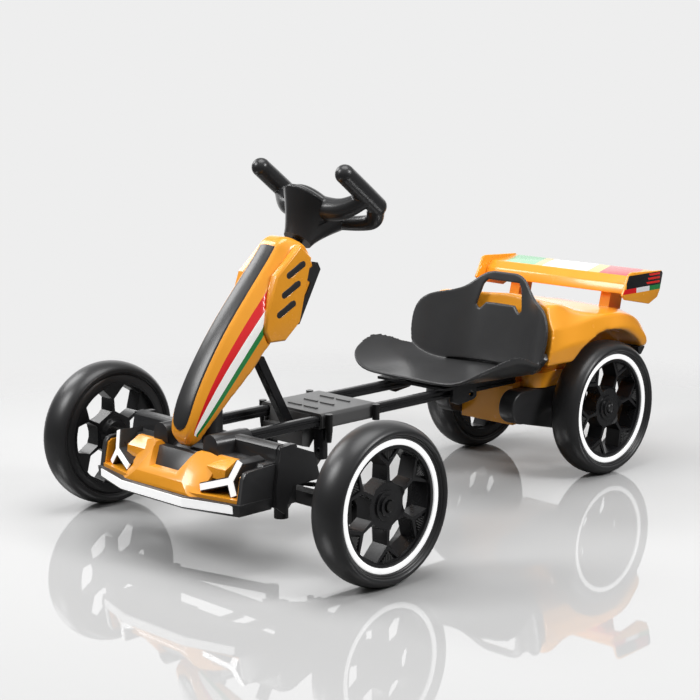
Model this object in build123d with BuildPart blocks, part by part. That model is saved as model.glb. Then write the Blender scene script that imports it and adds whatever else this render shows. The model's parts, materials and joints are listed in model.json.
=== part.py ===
from build123d import *

import os
from math import atan2, cos, degrees, radians, sin

# A child's electric go-kart: two frame halves that telescope, four spoked wheels and a cowl over the column.

os.makedirs("parts", exist_ok=True)

# Frame: +Z up, the kart faces -Y, +X is its left side, the floor is Z = 0.

# Overall layout
wheelbase = 678.8
nose_overhang = 150.0  # front axle to the lamp strip's face
tail_overhang = 126.2  # rear axle to the wing plates' tails
front_track = 580.6
rear_track = 272.2
front_axle_y = -(wheelbase + tail_overhang - nose_overhang) / 2
rear_axle_y = front_axle_y + wheelbase

# Wheels
wheel_radius = 110.0
tyre_width = 53.6
tyre_crown = 8.5
tread_width = 40.0
tyre_height = 30.0
ring_inset = 21.1  # tread crown to the white ring's outer edge
ring_width = 7.7
ring_offset = 19.9  # ring face outboard of the wheel's centre plane
ring_thickness = 2.6
barrel_wall = 3.4
spoke_count = 6
spoke_face = 13.0  # spoke faces outboard of the centre plane
spoke_depth = 27.0
spoke_wall = 5.0
arm_wall = 3.6
fork_radius = 53.0  # where each spoke splits into its two arms
fork_spread = 16.5  # degrees from the spoke to where its arm meets the barrel
hub_ring_radius = 31.0
web_sink = 4.0
hub_ring_face = 9.5
boss_radius = 20.0
boss_face = 12.0
nose_radius = 14.0
nose_face = 15.0
axle_radius = 7.0
axle_tip = 17.6
running_gap = 0.1
side_gap = 0.5
bead_radius = wheel_radius - tyre_height
ring_radius = wheel_radius - ring_inset
ring_inner_radius = ring_radius - ring_width

# Front frame
rail_spread = 106.0
rail_width = 14.0
rail_height = 16.0
rail_z = 163.8
rail_corner = 4.5
rail_groove = 1.6
sleeve_wall = 4.5
sleeve_cap = 3.2  # wall above and below the rail
slide_gap = 0.3
plate_length = 112.0
plate_setback = 112.0  # front axle to the foot plate
plate_thickness = 4.0
tread_rib = 29.0
tread_rib_width = 5.0
tread_rib_height = 1.6
front_rail_insert = 12.0
rear_rail_insert = 70.0
post_radius = 10.0
post_bottom = 108.0
post_setback = 8.0  # behind the sleeve's mouth
strap_thickness = 4.0
strap_width = 14.0
lever_radius = 5.5
lever_bottom = 134.0

# Front axle and steering
beam_height = 18.0
beam_depth = 20.0
beam_z = 93.0
kingpin_x = 228.0
kingpin_radius = 5.0
barrel_radius = 11.0
barrel_height = 22.0
yoke_plate = 6.0
yoke_width = 28.0
steer_arm = 45.0
steer_arm_width = 16.0
tie_pin_radius = 4.0
tie_rod_radius = 4.5
tie_eye_radius = 8.0
tie_eye_height = 7.0
leg_x = 117.0
leg_setback = -17.0
leg_radius = 10.0
leg_bottom = 60.0
saddle_thickness = 5.5
mast_setback = -38.7  # the lower column's centre, ahead of the axle
mast_radius = 15.0
mast_top = 205.0
pitman_radius = 7.0
column_tilt = 37.3  # degrees back from upright
collar_y = 123.5
collar_z = 415.5
collar_radius = 21.5
shaft_radius = 8.0
shaft_in_cowl = 90.0
shroud_height = 58.0
shroud_radius = 60.0  # fore and aft, at its top
grip_radius = 13.5
grip_x = 87.0
grip_length = 108.0

# Nose
cheek_x = 154.0
housing_half = cheek_x - 6.0
cheek_wall = 10.0
socket_half = 15.0
socket_setback = -87.8
socket_top = 177.0
guard_thickness = 3.0
tray_half = 150.7
tray_wall = 7.0
tray_bottom = 88.0
strip_height = 12.5
strip_thickness = 3.0

# Seat
seat_thickness = 5.0
seat_z = 181.0

# Tail
gearbox_half = 54.0
gearbox_face = -130.5  # its front face, behind the rear axle
gearbox_bottom = 86.7
motor_thickness = 30.0
wing_plate_x = 158.0
wing_plate_thickness = 5.0
arch_radius = wheel_radius + 18.5
arch_inner_x = 98.0


def front(y):
    """A station behind the front axle, in the kart's frame."""
    return front_axle_y + y


def rear(y):
    """A station behind the rear axle, in the kart's frame."""
    return rear_axle_y + y


def side_plane(x, y=0.0, z=0.0):
    """A plane across the kart: sketch X runs back along +Y and sketch Y runs up."""
    return Plane(origin=(x, y, z), x_dir=(0, 1, 0), z_dir=(1, 0, 0))


def cross_plane(y, z=0.0):
    """A plane facing forward: sketch X is +X and sketch Y runs up."""
    return Plane(origin=(0, y, z), x_dir=(1, 0, 0), z_dir=(0, -1, 0))


def write(builder, label):
    builder.part.label = label
    export_step(builder.part, f"parts/{label}.step")


# ---------------------------------------------------------------- wheels

def wheel_section(side, track, axle_y):
    """A wheel's half section: sketch X runs outboard along the axle and sketch Y runs out to the tread."""
    return Plane(
        origin=(side * track / 2, axle_y, wheel_radius),
        x_dir=(side, 0, 0),
        z_dir=(0, -side, 0),
    )


def wheel_face(side, track, axle_y, offset):
    """A plane square to the axle, its normal outboard, at an offset from the wheel's centre plane."""
    return Plane(
        origin=(side * (track / 2 + offset), axle_y, wheel_radius),
        x_dir=(0, 1, 0),
        z_dir=(side, 0, 0),
    )


def axle_axis(axle_y):
    return Axis((0, axle_y, wheel_radius), (1, 0, 0))


def make_tyre(side, track, axle_y):
    half = tyre_width / 2
    shoulder = wheel_radius - tyre_crown
    step = ring_offset - ring_thickness
    with BuildPart() as tyre:
        with BuildSketch(wheel_section(side, track, axle_y)):
            with BuildLine():
                ThreePointArc(
                    (-tread_width / 2, shoulder), (0, wheel_radius), (tread_width / 2, shoulder)
                )
                ThreePointArc(
                    (tread_width / 2, shoulder),
                    (half - 1.6, (shoulder + ring_radius) / 2 + 1),
                    (half, ring_radius),
                )
                Polyline(
                    (half, ring_radius),
                    (step, ring_radius),
                    (step, bead_radius),
                    (-half, bead_radius),
                    (-half, ring_radius),
                )
                ThreePointArc(
                    (-half, ring_radius),
                    (1.6 - half, (shoulder + ring_radius) / 2 + 1),
                    (-tread_width / 2, shoulder),
                )
            make_face()
        revolve(axis=axle_axis(axle_y))
    return tyre


def make_ring(side, track, axle_y):
    with BuildPart() as ring:
        with BuildSketch(wheel_face(side, track, axle_y, ring_offset)):
            Circle(ring_radius)
            Circle(ring_inner_radius, mode=Mode.SUBTRACT)
        extrude(amount=-ring_thickness)
    return ring


def make_rim(side, track, axle_y, phase):
    """Barrel, webbed disc and stepped hub, with six pockets cut right through between the spokes."""
    barrel_inner = bead_radius - barrel_wall
    lip = ring_offset - ring_thickness
    back = -tyre_width / 2 + 2
    half_pitch = 180 / spoke_count
    inner = hub_ring_radius + 3
    pocket_rim = barrel_inner - 1
    with BuildPart() as rim:
        with BuildSketch(wheel_section(side, track, axle_y)):
            with BuildLine():
                Polyline(
                    (axle_tip - 4, axle_radius + running_gap),
                    (nose_face, axle_radius + running_gap + 2),
                    (nose_face, nose_radius),
                    (boss_face, nose_radius),
                    (boss_face, boss_radius),
                    (hub_ring_face, boss_radius),
                    (hub_ring_face, hub_ring_radius),
                    (spoke_face, hub_ring_radius + 2),
                    (spoke_face, barrel_inner),
                    (lip, barrel_inner),
                    (lip, bead_radius),
                    (back, bead_radius),
                    (back, barrel_inner),
                    (spoke_face - spoke_depth, barrel_inner),
                    (spoke_face - spoke_depth, boss_radius + 4),
                    (back + 3, boss_radius),
                    (back + 3, axle_radius + running_gap),
                    close=True,
                )
            make_face()
        revolve(axis=axle_axis(axle_y))
        with BuildSketch(wheel_face(side, track, axle_y, spoke_face)):
            with PolarLocations(0, spoke_count, start_angle=phase + half_pitch):
                Polygon(
                    polar(inner, 5 - half_pitch),
                    polar(fork_radius, 2 - half_pitch),
                    polar(pocket_rim, fork_spread - half_pitch),
                    polar(pocket_rim, half_pitch - fork_spread),
                    polar(fork_radius, half_pitch - 2),
                    polar(inner, half_pitch - 5),
                    align=None,
                )
        extrude(amount=-spoke_depth - 1, mode=Mode.SUBTRACT)
        # the triangle between each spoke's two arms is sunk behind them
        with BuildSketch(wheel_face(side, track, axle_y, spoke_face)):
            with PolarLocations(0, spoke_count, start_angle=phase):
                Polygon(
                    polar(fork_radius + 6, 0),
                    polar(pocket_rim, fork_spread - 3),
                    polar(pocket_rim, 3 - fork_spread),
                    align=None,
                )
        extrude(amount=-web_sink, mode=Mode.SUBTRACT)
    return rim


def polar(radius, degrees_round):
    return (radius * cos(radians(degrees_round)), radius * sin(radians(degrees_round)))


for end, track, axle_y, phase in (
    ("front", front_track, front_axle_y, 0.0),
    ("rear", rear_track, rear_axle_y, 8.0),
):
    for hand, side in (("left", 1), ("right", -1)):
        write(make_tyre(side, track, axle_y), f"tyre_{end}_{hand}")
        write(make_ring(side, track, axle_y), f"trim_ring_{end}_{hand}")
        write(make_rim(side, track, axle_y, phase), f"rim_{end}_{hand}")


# ---------------------------------------------------------------- front frame

def rail_outline(grow=0.0):
    """The two-lobed tube section: a rounded upright block, its flanks grooved where nothing has grown it."""
    with BuildSketch() as outline:
        RectangleRounded(rail_width + 2 * grow, rail_height + 2 * grow, rail_corner + grow)
        if grow == 0:
            with Locations((-rail_width / 2 - 0.4, 0), (rail_width / 2 + 0.4, 0)):
                Circle(rail_groove, mode=Mode.SUBTRACT)
    return outline.sketch


def make_rails(start_y, end_y):
    with BuildPart() as rails:
        with BuildSketch(cross_plane(start_y, rail_z)):
            with Locations((-rail_spread / 2, 0), (rail_spread / 2, 0)):
                add(rail_outline())
        extrude(amount=start_y - end_y)
    return rails


plate_start = front(plate_setback)
plate_end = plate_start + plate_length
front_rail_end = plate_start + front_rail_insert
socket_face = front(socket_setback)
socket_wall = 6.0
write(make_rails(socket_face + socket_wall, front_rail_end), "front_rails")

rear_rail_start = plate_end - rear_rail_insert
gearbox_front = rear(gearbox_face)
write(make_rails(rear_rail_start, gearbox_front), "rear_rails")

# Foot plate: a ribbed deck between two sleeves, with a crosspiece that takes the strut's foot
sleeve_width = rail_width + 2 * (slide_gap + sleeve_wall)
sleeve_height = rail_height + 2 * (slide_gap + sleeve_cap)
sleeve_bottom = rail_z - sleeve_height / 2
plate_top = rail_z + sleeve_height / 2
strut_foot_y = front(105.0)
strut_foot_z = 152.0
strut_width = 14.5
cross_front = plate_start - 18.0
cross_bottom = 124.0
cross_half = rail_spread / 2 - post_radius - 1.0

with BuildPart() as foot_plate:
    with BuildSketch(cross_plane(plate_start, rail_z)):
        with Locations((-rail_spread / 2, 0), (rail_spread / 2, 0)):
            RectangleRounded(sleeve_width, sleeve_height, rail_corner + 2)
        with Locations((0, sleeve_height / 2 - plate_thickness / 2)):
            Rectangle(rail_spread, plate_thickness)
        with Locations((-rail_spread / 2, 0), (rail_spread / 2, 0)):
            add(rail_outline(slide_gap), mode=Mode.SUBTRACT)
    extrude(amount=-plate_length)
    with BuildSketch(side_plane(-cross_half)):
        Polygon(
            (plate_start + 6, plate_top - plate_thickness),
            (plate_start + 6, cross_bottom + 12),
            (plate_start - 4, cross_bottom),
            (cross_front, cross_bottom + 4),
            (cross_front, strut_foot_z),
            (plate_start - 6, strut_foot_z),
            (plate_start - 2, plate_top - plate_thickness),
            align=None,
        )
    extrude(amount=2 * cross_half)
    with BuildSketch(Plane.XY.offset(plate_top)):
        with Locations((0, plate_start + plate_length / 2)):
            with GridLocations(34, 33, 2, 3):
                SlotOverall(tread_rib, tread_rib_width)
    extrude(amount=tread_rib_height)
write(foot_plate, "foot_plate")

# Pinch bolts beside the sleeves: a cam lever hangs from each front one, the rear ones are plain
lever_x = rail_spread / 2 + sleeve_width / 2 + lever_radius
front_clamp_y = plate_start + 8
rear_clamp_y = plate_end - 8

with BuildPart() as clamp_levers:
    for side in (-1, 1):
        with BuildSketch(Plane.XY.offset(sleeve_bottom)):
            with Locations((side * lever_x, front_clamp_y), (side * lever_x, rear_clamp_y)):
                Circle(lever_radius)
        extrude(amount=sleeve_height)
        with BuildSketch(Plane.XY.offset(sleeve_bottom)):
            with Locations((side * lever_x, front_clamp_y)):
                Circle(lever_radius)
        with BuildSketch(Plane.XY.offset(lever_bottom)):
            with Locations((side * lever_x, front_clamp_y)):
                Circle(lever_radius - 2)
        loft()
write(clamp_levers, "clamp_levers")

post_y = plate_start + post_setback
clevis_top = post_bottom + 18
brace_foot = Vector(leg_x, front(leg_setback), leg_bottom + 8)
brace_head = Vector(rail_spread / 2, post_y, post_bottom + 7)
brace_run = brace_head - brace_foot
brace_sweep = degrees(atan2(leg_x - rail_spread / 2, brace_run.Y))
with BuildPart() as posts:
    with BuildSketch(Plane.XY.offset(post_bottom)):
        with Locations((-rail_spread / 2, post_y), (rail_spread / 2, post_y)):
            Circle(post_radius)
    extrude(amount=sleeve_bottom - post_bottom)
    with BuildSketch(Plane.XY.offset(post_bottom)):
        for side in (-1, 1):
            with Locations((side * rail_spread / 2, post_y)):
                Rectangle(strap_thickness, 4 * post_radius, rotation=side * brace_sweep)
    extrude(amount=clevis_top - post_bottom, mode=Mode.SUBTRACT)
write(posts, "posts")

# Strut from the cowl's back down to the foot plate's crosspiece
strut_head = Vector(0, front(48.0), 256.0)
strut_foot = Vector(0, strut_foot_y, strut_foot_z)
strut_run = strut_head - strut_foot
strut_plane = Plane(origin=strut_foot, x_dir=(1, 0, 0), z_dir=strut_run)
with BuildPart() as column_strut:
    with BuildSketch(strut_plane):
        RectangleRounded(strut_width, strut_width, 2)
    extrude(amount=strut_run.length)
    split(bisect_by=Plane.XY.offset(strut_foot_z), keep=Keep.TOP)
    add(foot_plate.part, mode=Mode.SUBTRACT)
write(column_strut, "column_strut")

# Front axle: beam, kingpin barrels, two legs, the saddle under the rails, and the braces back to the posts
beam_bottom = beam_z - beam_height / 2
beam_top = beam_z + beam_height / 2
rail_bottom = rail_z - rail_height / 2

with BuildPart() as front_axle:
    with BuildSketch(side_plane(-kingpin_x, front(0), beam_z)):
        Rectangle(beam_depth, beam_height)
    extrude(amount=2 * kingpin_x)
    with BuildSketch(Plane.XY.offset(beam_z - barrel_height / 2)):
        with Locations((-kingpin_x, front(0)), (kingpin_x, front(0))):
            Circle(barrel_radius)
    extrude(amount=barrel_height)
    with BuildSketch(Plane.XY.offset(leg_bottom)):
        with Locations((-leg_x, front(leg_setback)), (leg_x, front(leg_setback))):
            Circle(leg_radius)
    extrude(amount=rail_bottom - leg_bottom)
    with BuildSketch(Plane.XY.offset(rail_bottom - saddle_thickness)):
        with Locations((0, front(-8.5))):
            Rectangle(2 * (leg_x + leg_radius), 25)
    extrude(amount=saddle_thickness)
    for side in (-1, 1):
        foot = Vector(side * brace_foot.X, brace_foot.Y, brace_foot.Z)
        run = Vector(side * brace_run.X, brace_run.Y, brace_run.Z)
        with BuildSketch(Plane(origin=foot, x_dir=(run.Y, -run.X, 0), z_dir=run)):
            Rectangle(strap_thickness, strap_width)
        extrude(amount=run.length)
    with BuildSketch(Plane.XY.offset(beam_z - barrel_height / 2)):
        with Locations((-kingpin_x, front(0)), (kingpin_x, front(0))):
            Circle(kingpin_radius + running_gap)
    extrude(amount=barrel_height, mode=Mode.SUBTRACT)
write(front_axle, "front_axle")

# Knuckles: a yoke round the beam's barrel, its pin, the stub axle outboard and the steering arm behind
yoke_gap = 0.3
yoke_low = beam_z - barrel_height / 2 - yoke_gap - yoke_plate
yoke_high = beam_z + barrel_height / 2 + yoke_gap + yoke_plate
web_inner = kingpin_x + barrel_radius + 2.0
web_outer = web_inner + 9.0
web_top = wheel_radius + 10.0
arm_base = yoke_high + 1.0
arm_thickness = 5.0
arm_top = arm_base + arm_thickness
eye_z = arm_base - yoke_gap - tie_eye_height  # the tie rod hangs under its arms
hub_back = front_track / 2 - tyre_width / 2 + 5.0


def make_knuckle(side):
    with BuildPart() as knuckle:
        with BuildSketch(side_plane(side * web_inner, front(0))):
            with BuildLine():
                Polyline(
                    (-yoke_width / 2, yoke_low),
                    (yoke_width / 2, yoke_low),
                    (yoke_width / 2, web_top),
                    (-yoke_width / 2, web_top),
                    close=True,
                )
            make_face()
        extrude(amount=side * (web_outer - web_inner))
        for low, high in ((yoke_low, yoke_low + yoke_plate), (yoke_high - yoke_plate, arm_top)):
            with BuildSketch(Plane.XY.offset(low)):
                with Locations((side * kingpin_x, front(0))):
                    Circle(yoke_width / 2)
                with Locations((side * (kingpin_x + web_inner) / 2, front(0))):
                    Rectangle(web_inner - kingpin_x, yoke_width)
            extrude(amount=high - low)
        with BuildSketch(Plane.XY.offset(arm_base)):
            with Locations((side * kingpin_x, front(steer_arm / 2))):
                Rectangle(steer_arm_width, steer_arm)
            with Locations((side * kingpin_x, front(steer_arm))):
                Circle(steer_arm_width / 2)
        extrude(amount=arm_thickness)
        with BuildSketch(Plane.XY.offset(eye_z)):
            with Locations((side * kingpin_x, front(steer_arm))):
                Circle(tie_pin_radius)
        extrude(amount=arm_base - eye_z)
        with BuildSketch(Plane.XY.offset(yoke_low - 4)):
            with Locations((side * kingpin_x, front(0))):
                Circle(kingpin_radius)
        extrude(amount=arm_top + 4 - yoke_low + 4)
        with BuildSketch(side_plane(side * web_outer, front(0), wheel_radius)):
            Circle(axle_radius + 4)
        extrude(amount=side * (hub_back - side_gap - web_outer))
        with BuildSketch(side_plane(side * web_outer, front(0), wheel_radius)):
            Circle(axle_radius)
        extrude(amount=side * (front_track / 2 + axle_tip - web_outer))
    return knuckle


write(make_knuckle(1), "knuckle_left")
write(make_knuckle(-1), "knuckle_right")

# Lower column: a short upright shaft in the mast, with the pitman arm under the rod's middle eye
mast_y = front(mast_setback)
pitman_tip_y = mast_y + steer_arm
with BuildPart() as pitman_arm:
    with BuildSketch(Plane.XY.offset(arm_base)):
        with Locations((0, (mast_y + pitman_tip_y) / 2)):
            Rectangle(steer_arm_width, steer_arm)
        with Locations((0, mast_y), (0, pitman_tip_y)):
            Circle(steer_arm_width / 2)
    extrude(amount=arm_thickness)
    with BuildSketch(Plane.XY.offset(eye_z)):
        with Locations((0, pitman_tip_y)):
            Circle(tie_pin_radius)
    extrude(amount=arm_base - eye_z)
    with BuildSketch(Plane.XY.offset(arm_top)):
        with Locations((0, mast_y)):
            Circle(pitman_radius)
    extrude(amount=mast_top - 30 - arm_top)
write(pitman_arm, "pitman_arm")

# Tie rod: one bent bar from knuckle to knuckle, with an eye at each end and one in the middle
rod_z = eye_z + tie_eye_height / 2
eyes = ((-kingpin_x, front(steer_arm)), (0, pitman_tip_y), (kingpin_x, front(steer_arm)))
with BuildPart() as tie_rod:
    with BuildSketch(Plane.XY.offset(eye_z)):
        with Locations(*eyes):
            Circle(tie_eye_radius)
    extrude(amount=tie_eye_height)
    with BuildLine() as rod_path:
        FilletPolyline(
            (-kingpin_x, front(steer_arm), rod_z),
            (-leg_x - 20, pitman_tip_y, rod_z),
            (leg_x + 20, pitman_tip_y, rod_z),
            (kingpin_x, front(steer_arm), rod_z),
            radius=40,
        )
    with BuildSketch(Plane(origin=rod_path.line @ 0, z_dir=rod_path.line % 0)):
        Rectangle(5, 5)
    sweep(path=rod_path.line)
    with BuildSketch(Plane.XY.offset(eye_z)):
        with Locations(*eyes):
            Circle(tie_pin_radius + running_gap)
    extrude(amount=tie_eye_height, mode=Mode.SUBTRACT)
write(tie_rod, "tie_rod")

# ---------------------------------------------------------------- nose

# Black nose housing: a hollow cross box with rail sockets, a mast for the column and cheeks at its ends
housing_front = front(-84.0)
housing_back = front(-32.0)
housing_bottom = 104.0
housing_top = 150.0
notch_half = 46.0
notch_top = 126.0

with BuildPart() as front_housing:
    with BuildSketch(side_plane(-housing_half)):
        Polygon(
            (housing_front, housing_bottom + 6),
            (housing_front, housing_top - 10),
            (housing_front + 8, housing_top),
            (housing_back, housing_top),
            (housing_back, housing_bottom),
            (housing_front + 10, housing_bottom),
            align=None,
        )
    extrude(amount=2 * housing_half)
    # arched underside for the pitman arm's swing
    with BuildSketch(cross_plane(housing_front - 1)):
        Polygon(
            (-notch_half, housing_bottom - 1),
            (notch_half, housing_bottom - 1),
            (notch_half - 10, notch_top),
            (10 - notch_half, notch_top),
            align=None,
        )
    extrude(amount=housing_front - housing_back - 2, mode=Mode.SUBTRACT)
    # rail sockets with domed tops
    with BuildSketch(cross_plane(socket_face)):
        for side in (-1, 1):
            with Locations((side * rail_spread / 2, rail_z - 2)):
                Circle(socket_half)
            with Locations((side * rail_spread / 2, (rail_z - 2 + notch_top + 6) / 2)):
                Rectangle(2 * socket_half, rail_z - 2 - notch_top - 6)
    extrude(amount=socket_face - housing_back)
    with BuildSketch(cross_plane(housing_back, rail_z - 1)):
        with Locations((-rail_spread / 2, 0), (rail_spread / 2, 0)):
            Circle(socket_half - 2)
    extrude(amount=housing_back - front(-22))
    # cheeks
    for side in (-1, 1):
        with BuildSketch(side_plane(side * (cheek_x - cheek_wall))):
            Polygon(
                (front(-64), 90), (front(-62), 119), (front(-53), 168), (front(-49), 172),
                (front(-24), 171), (front(-21), 168), (front(-24), 90),
                align=None,
            )
        extrude(amount=side * cheek_wall)
    # upright wall from each socket to its cheek
    for side in (-1, 1):
        with BuildSketch(side_plane(side * (rail_spread / 2))):
            Polygon(
                (front(-57), 130), (front(-55), 168), (front(-51), 173), (front(-42), 173), (front(-40), 130),
                align=None,
            )
        extrude(amount=side * (cheek_x - cheek_wall / 2 - rail_spread / 2))
    # mast
    with BuildSketch(Plane.XY.offset(notch_top)):
        with Locations((0, mast_y)):
            Circle(mast_radius)
    extrude(amount=mast_top - notch_top)
    with BuildSketch(Plane.XY.offset(notch_top)):
        with Locations((0, mast_y)):
            Circle(pitman_radius + running_gap)
    extrude(amount=mast_top - 29 - notch_top, mode=Mode.SUBTRACT)
    with BuildSketch(cross_plane(socket_face + socket_wall, rail_z)):
        with Locations((-rail_spread / 2, 0), (rail_spread / 2, 0)):
            add(rail_outline())
    extrude(amount=-120, mode=Mode.SUBTRACT)
write(front_housing, "front_housing")

# Splash guards: thin upright plates on the cheeks' outer faces, reaching back beside the tyres
guard_profile = (
    (front(-62), 90), (front(-62), 119), (front(-52), 171), (front(-37), 172), (front(8.2), 154.3),
    (front(19.4), 116), (front(-31.6), 114.7), (front(-47), 78.6),
)

with BuildPart() as splash_guards:
    for side in (-1, 1):
        with BuildSketch(side_plane(side * cheek_x)):
            Polygon(*guard_profile, align=None)
        extrude(amount=side * guard_thickness)
write(splash_guards, "splash_guards")

# Bumper tray: a kinked black pan with upright end walls, the window's panel and the lamps' housings
tray_front_half = 66.0
tray_nose = front(-146.0)
tray_shoulder = front(-122.5)
tray_back = front(-66.0)
tray_lip = 104.0
tray_floor = 5.0
panel_half = 44.0
lamp_bezel = 1.6
lamp_bar = 9.0
lamp_plate = 3.0
lamp_depth = 38.0


def lamp_plane(side, back=0.0):
    """The plane of a lamp's three bars, turned a little outboard and up; sketch X runs outboard."""
    normal = Vector(0.238 * side, -0.933, 0.271)
    return Plane(
        origin=Vector(side * 121.4, front(-112.5), 130) - normal * back,
        x_dir=Vector(0.969, 0.247 * side, 0),
        z_dir=normal,
    )


def lamp_bars(side):
    """Centre lines of the three bars, from their meeting point."""
    for reach_x, reach_y in ((11, 27), (9, -19), (-46, -14)):
        Line((0, 0), (side * reach_x, reach_y))


with BuildPart() as bumper_tray:
    with BuildSketch(Plane.XY.offset(tray_bottom)):
        Polygon(
            (-tray_half, tray_back), (-tray_half, tray_shoulder), (-tray_front_half, tray_nose),
            (tray_front_half, tray_nose), (tray_half, tray_shoulder), (tray_half, tray_back),
            align=None,
        )
    extrude(amount=tray_lip - tray_bottom, taper=-6)
    for side in (-1, 1):
        with BuildSketch(side_plane(side * tray_half)):
            Polygon(
                (tray_back, tray_bottom), (tray_shoulder, tray_bottom), (front(-122.8), 92),
                (front(-115), 137), (front(-110), 144), (front(-104), 146), (front(-56), 148.5), (front(-58), 100),
                align=None,
            )
        extrude(amount=-side * tray_wall)
        # lamp housings
        with BuildSketch(lamp_plane(side, lamp_plate)):
            with BuildLine():
                lamp_bars(side)
            trace(line_width=lamp_bar + 2 * lamp_bezel)
        extrude(amount=lamp_depth, dir=(0, 1, 0))
        with BuildSketch(lamp_plane(side, lamp_plate)):
            with BuildLine():
                lamp_bars(side)
            trace(line_width=lamp_bar + 2 * lamp_bezel)
        extrude(amount=lamp_plate - 0.6)
        with BuildSketch(lamp_plane(side, 0)):
            with BuildLine():
                lamp_bars(side)
            trace(line_width=lamp_bar)
        extrude(amount=-lamp_plate, mode=Mode.SUBTRACT)
        # foot that carries the housing
        with BuildSketch(Plane.XY.offset(tray_lip - 2)):
            with Locations((side * 106, front(-84))):
                Rectangle(36, 16)
        extrude(amount=24)
    # sloping panel behind the fascia's window
    with BuildSketch(side_plane(-panel_half)):
        Polygon(
            (front(-126), tray_lip), (front(-118), 126), (front(-100), 149.5), (front(-88), 149.5),
            (front(-86), tray_lip),
            align=None,
        )
    extrude(amount=2 * panel_half)
    # dark grille below the fascia's front band
    with BuildSketch(side_plane(-50)):
        Polygon((front(-139), tray_lip), (front(-132), 118), (front(-124), 118), (front(-124), tray_lip), align=None)
    extrude(amount=100)
    add(front_housing.part, mode=Mode.SUBTRACT)
write(bumper_tray, "bumper_tray")

# White lamp strip along the tray's front edge
with BuildPart() as lamp_strip:
    with BuildSketch(Plane.XY.offset(tray_lip - strip_height)):
        Polygon(
            (-tray_half + 9, tray_shoulder), (-tray_front_half, tray_nose), (tray_front_half, tray_nose),
            (tray_half - 9, tray_shoulder), (tray_half - 9, tray_shoulder - 1 - strip_thickness),
            (tray_front_half, front(-nose_overhang)), (-tray_front_half, front(-nose_overhang)),
            (-tray_half + 9, tray_shoulder - 1 - strip_thickness),
            align=None,
        )
    extrude(amount=strip_height - 0.8)
    add(bumper_tray.part, mode=Mode.SUBTRACT)
write(lamp_strip, "lamp_strip")

# Y-shaped head lamps: three white bars let into each housing
with BuildPart() as head_lamps:
    for side in (-1, 1):
        with BuildSketch(lamp_plane(side)):
            with BuildLine():
                lamp_bars(side)
            trace(line_width=lamp_bar)
        extrude(amount=-lamp_plate)
write(head_lamps, "head_lamps")

# Orange fascia: a U-shaped frame with sloped legs, a wedge bar behind each lamp and the lamps' recesses
slope_low = Vector(0, front(-135.2), 119)
slope_high = Vector(0, front(-107), 154)
fascia_reach = 80.0
flank_normal = Vector(0.344, -0.671, 0.657)
flank_point = Vector(63.4, front(-139.7), 107)

with BuildPart() as bumper_fascia:
    with BuildSketch(side_plane(-fascia_reach)):
        Polygon(
            (front(-139.7), tray_lip), (front(-139.7), 107), (slope_low.Y, slope_low.Z),
            (slope_high.Y, slope_high.Z), (front(-94), 155), (front(-90), 150), (front(-90), tray_lip),
            align=None,
        )
    extrude(amount=2 * fascia_reach)
    for side in (-1, 1):
        normal = Vector(flank_normal.X * side, flank_normal.Y, flank_normal.Z)
        split(bisect_by=Plane(origin=(flank_point.X * side, flank_point.Y, flank_point.Z), z_dir=normal),
              keep=Keep.BOTTOM)
    # window, open at its top
    with BuildSketch(cross_plane(front(-150))):
        Polygon((-29, 127), (29, 127), (46, 160), (-46, 160), align=None)
    extrude(amount=-80, mode=Mode.SUBTRACT)
    for side in (-1, 1):
        # recess floor and the insert against the end wall
        with BuildSketch(Plane.XY.offset(tray_lip)):
            Polygon(
                (side * 60, front(-138)), (side * (tray_half - tray_wall), front(-120)),
                (side * (tray_half - tray_wall), front(-76)), (side * 60, front(-90)),
                align=None,
            )
        extrude(amount=tray_floor)
        with BuildSketch(side_plane(side * (tray_half - tray_wall))):
            Polygon(
                (front(-119), tray_lip), (front(-112), 138), (front(-106), 142), (front(-76), 142),
                (front(-76), tray_lip),
                align=None,
            )
        extrude(amount=-side * 3)
        # wedge bar
        with BuildSketch(side_plane(side * 62)):
            Polygon(
                (front(-108), 126), (front(-106), 140), (front(-86), 151), (front(-80), 151), (front(-80), 120),
                align=None,
            )
        extrude(amount=side * 43)
    add(front_housing.part, mode=Mode.SUBTRACT)
    add(bumper_tray.part, mode=Mode.SUBTRACT)
    add(head_lamps.part, mode=Mode.SUBTRACT)
write(bumper_fascia, "bumper_fascia")

# ---------------------------------------------------------------- cowl and steering

cowl_foot = Vector(0, front(-85.0), 150.0)
cowl_lean = 34.4  # degrees back from upright
lean_up = Vector(0, sin(radians(cowl_lean)), cos(radians(cowl_lean)))
spine_half = 15.0
spine_proud = 2.5

# the cowl seen from its side: its front, then its top and its back down to the tip
cowl_front = (
    (-98, 176), (-95.5, 190), (-86, 216), (-64, 255), (-39, 291), (-13, 323.5), (13, 353), (38, 380.5), (57, 401.5),
    (68, 415),
)
cowl_rear = ((124, 386), (91, 328), (38.7, 283), (12.4, 254), (-13.5, 229), (-39, 205), (-62, 180))
# half widths by height along the lean, of the cowl and of its spine
cowl_width = ((-1, 6), (4, 13), (12, 18.5), (28, 24), (60, 29.5), (105, 33.5), (180, 38), (250, 40), (322, 34), (345, 30))
spine_width = ((5, 5), (9, 12), (20, 17), (45, 18.5), (90, 18), (150, 17.5), (240, 15.5), (322, 14.5))
nose_half = 18.5
flank_slope = 1.35  # run back per run out, beside the nose


def lean_plane():
    """The plane square to the cowl's front view: sketch X is +X and sketch Y runs up the lean."""
    return Plane(origin=cowl_foot, x_dir=(1, 0, 0), z_dir=(0, -cos(radians(cowl_lean)), sin(radians(cowl_lean))))


def width_outline(widths):
    """A closed outline from half widths along the lean, smooth on both flanks."""
    flank = Spline(*[(half, along) for along, half in widths])
    Line(flank @ 1, (-widths[-1][1], widths[-1][0]))
    other = Spline(*[(-half, along) for along, half in widths])
    Line(other @ 0, flank @ 0)


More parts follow.
